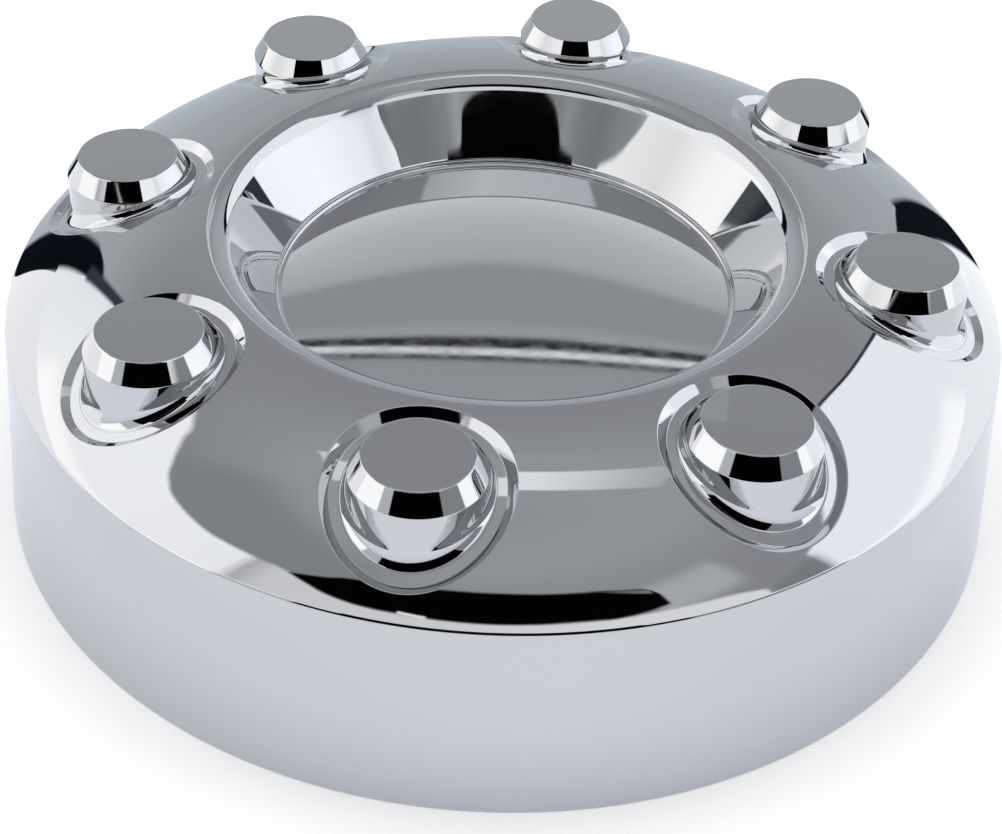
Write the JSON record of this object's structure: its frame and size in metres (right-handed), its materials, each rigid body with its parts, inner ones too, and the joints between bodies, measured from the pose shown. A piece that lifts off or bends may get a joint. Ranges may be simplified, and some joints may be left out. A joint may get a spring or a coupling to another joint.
{
  "type": "axle hub cover",
  "caption": "Chrome-plated axle hub cover: a one-piece round shell with a domed face, a closed centre well and a ring of raised lug-nut caps, open underneath.",
  "frame": {"origin": "centre of the open rim, on the plane that the rim rests on", "axes": "+Z along the cover's axis, out of the domed face; -Y towards the front of the picture's view"},
  "size_m": [0.222, 0.222, 0.067],
  "materials": {
    "chrome_plate": "bright chrome plate, polished"
  },
  "bodies": {
    "root": {"hub_cover": "chrome_plate"}
  },
  "joints": []
}
